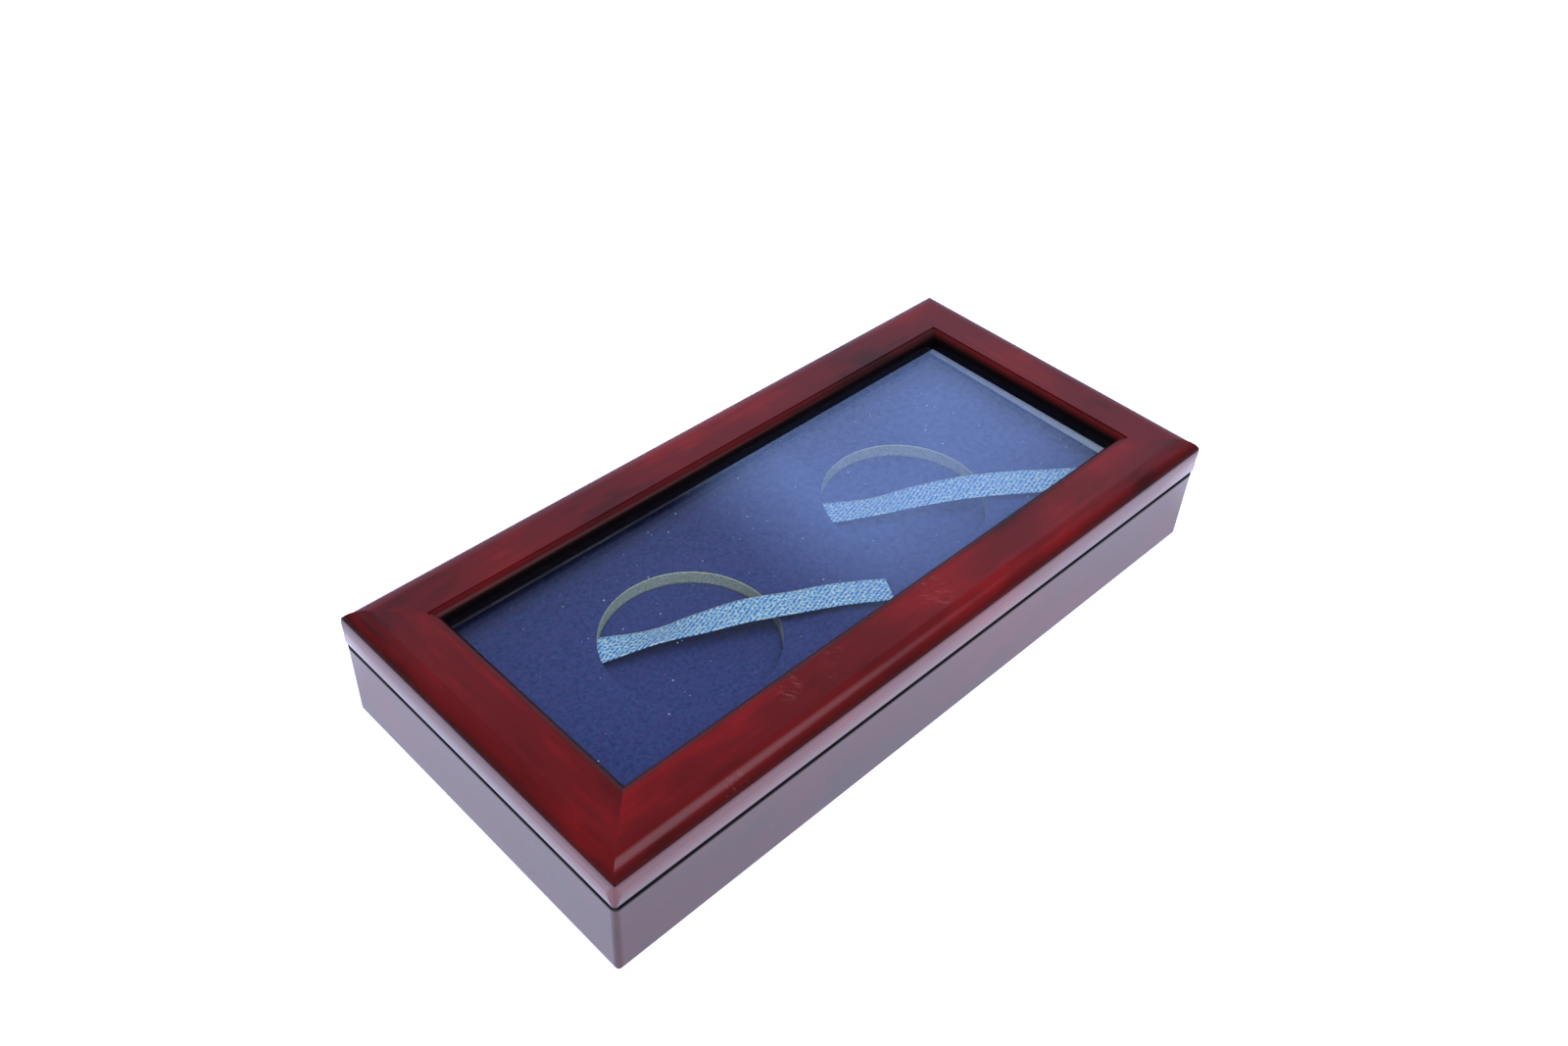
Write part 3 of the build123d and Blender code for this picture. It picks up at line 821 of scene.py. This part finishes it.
# %% [markdown]
# The box stands on a plain white table. The table is a matt white sheet that also glows to the camera and
# through glass, so that it reads as white there and still keeps the box's shadow. Mirrored in
# lacquer, glass or metal it is a lit patch instead, brighter than white: dimmer at the foot of the box as a
# painted shadow, full from five centimetres away, and dark past its edge. That edge gives the rounded lid
# its crisp pale lower half. Diffuse rays see the plain table.

# %% Table
patch_edge = 0.20
patch_fade = 0.05
foot_shadow_level, patch_level = 0.95, 2.2
patch_colour = (0.96, 1.0, 1.34, 1)
table_white = (0.93, 0.945, 0.96, 1)
table_glow = (0.60, 0.64, 0.72, 1)
table_reach = 3.0


def lit_patch(tree):
    """How bright the table shows in gloss, by its distance from the box's foot, with a painted shadow there.
    """
    beyond = beyond_box(tree, wall_half)
    rise = between(tree, beyond, 0.0, patch_fade)
    # Painted shadow: the patch is dimmer at the box's foot.
    level = sum_of(tree, "MULTIPLY_ADD", rise, patch_level - foot_shadow_level, foot_shadow_level)
    return sum_of(tree, "MULTIPLY", level, between(tree, beyond, patch_edge, patch_edge - patch_fade))


def table():
    """A wide white sheet under the box, staged so that it isn't part of the model."""
    form = bmesh.new()
    bmesh.ops.create_grid(form, x_segments=8, y_segments=8, size=table_reach)
    mesh = bpy.data.meshes.new("table")
    form.to_mesh(mesh)
    form.free()
    sheet = bpy.data.objects.new("table", mesh)
    bpy.context.collection.objects.link(sheet)
    finish, tree, shader = new_finish("white_table")
    shader.inputs["Base Color"].default_value = table_white
    shader.inputs["Roughness"].default_value = 0.9
    path = make(tree, "ShaderNodeLightPath").outputs
    seen = sum_of(tree, "MAXIMUM", path["Is Camera Ray"], path["Is Transmission Ray"])
    put(shader.inputs["Emission Strength"], seen, tree)
    shader.inputs["Emission Color"].default_value = table_glow
    mirrored = make(tree, "ShaderNodeEmission", Color=patch_colour, Strength=lit_patch(tree))
    not_refracted = sum_of(tree, "SUBTRACT", 1.0, path["Is Transmission Ray"])
    in_gloss = sum_of(tree, "MULTIPLY", path["Is Glossy Ray"], not_refracted)
    both = make(tree, "ShaderNodeMixShader", Fac=in_gloss)
    tree.links.new(shader.outputs[0], both.inputs[1])
    tree.links.new(mirrored.outputs[0], both.inputs[2])
    tree.links.new(both.outputs[0], tree.nodes["Material Output"].inputs["Surface"])
    mesh.materials.append(finish)


table()
print("lit patch ends", patch_edge / mm, "mm from the box")

# %% [markdown]
# The light is soft and comes from above. One wide lamp over the camera lights the box and is hidden from
# gloss, because a lamp this strong shows in lacquer as a hard white disk. What lacquer and glass mirror is
# the room, which the next cell makes.

# %% Light
lamp_place = Vector((-0.25, -0.45, 1.35))
light = bpy.data.lights.new("wide_lamp", "AREA")
light.shape = "DISK"
light.size = 1.1
light.energy = 12.0
lamp = bpy.data.objects.new("wide_lamp", light)
bpy.context.collection.objects.link(lamp)
lamp.location = lamp_place
lamp.rotation_mode = "QUATERNION"
lamp.rotation_quaternion = lamp_place.to_track_quat("Z", "Y")
lamp.visible_glossy = False
lamp.visible_transmission = False
lamp.visible_camera = False
print("lamp", round(lamp_place.length, 2), "m from the box")

# %% [markdown]
# The room is the world's colour as gloss sees it: dark on the near sides, so that the rounded edge of the
# lid turns dark above its pale lower half, a patch high on the front right, brighter than white, that glows
# on the shoulder of the lid, and a dim bluish panel on the far side. Each bright part is a direction and
# two angles, between which it fades out. Diffuse light gets one plain grey from every side instead,
# and the camera sees the room past the table's edge. A photographed room would serve as well, but no
# picture file is needed this way.

# %% Room
panel_side = (0.70, 0.71, 0.0)
shoulder_glow_side = (0.30, -0.45, 0.84)
dark_side = (0.030, 0.028, 0.034, 1)
shoulder_glow = (1.40, 1.25, 1.50, 1)
shoulder_glow_turns = (24, 1)
panel_turns = (87, 63)
panel_colour = (0.80, 0.90, 1.25)
panel_levels = ((0.0, 0.42), (0.30, 0.42), (0.60, 0.38), (0.70, 0.25), (0.78, 0.08), (1.0, 0.03))
diffuse_grey = (0.46, 0.47, 0.49, 1)


def towards(tree, direction, side, start_turn, full_turn):
    """0 where a direction is further than the first turn from a side, 1 within the second, in degrees."""
    facing = make(tree, "ShaderNodeVectorMath", {"operation": "DOT_PRODUCT"})
    put(facing.inputs[0], direction, tree)
    put(facing.inputs[1], side, tree)
    low, high = (math.cos(math.radians(turn)) for turn in (start_turn, full_turn))
    return between(tree, facing.outputs["Value"], low, high)


def surroundings():
    """The world: a grey for diffuse light and a room for what is seen, mirrored or refracted."""
    world = bpy.data.worlds.new("surroundings")
    bpy.context.scene.world = world
    world.use_nodes = True
    tree = world.node_tree
    direction = make(tree, "ShaderNodeTexCoord").outputs["Generated"]
    rise = make(tree, "ShaderNodeSeparateXYZ", Vector=direction).outputs["Z"]
    ramp = make(tree, "ShaderNodeValToRGB", Fac=rise)
    band = ramp.color_ramp
    while len(band.elements) < len(panel_levels):
        band.elements.new(0.5)
    for element, (place, level) in zip(band.elements, panel_levels):
        element.position = place
        element.color = [part * level for part in panel_colour] + [1]
    glow = towards(tree, direction, shoulder_glow_side, *shoulder_glow_turns)
    near_room = tint(tree, glow, dark_side, shoulder_glow)
    panel = towards(tree, direction, panel_side, *panel_turns)
    room = tint(tree, panel, near_room, ramp.outputs["Color"])
    path = make(tree, "ShaderNodeLightPath")
    seen = sum_of(tree, "MAXIMUM", path.outputs["Is Camera Ray"], path.outputs["Is Glossy Ray"])
    seen = sum_of(tree, "MAXIMUM", seen, path.outputs["Is Transmission Ray"])
    put(tree.nodes["Background"].inputs["Color"], tint(tree, seen, diffuse_grey, room), tree)
    tree.nodes["Background"].inputs["Strength"].default_value = 1.0


surroundings()
bpy.context.scene.view_settings.view_transform = "Standard"
print("room:", len(panel_levels), "levels on the far side")
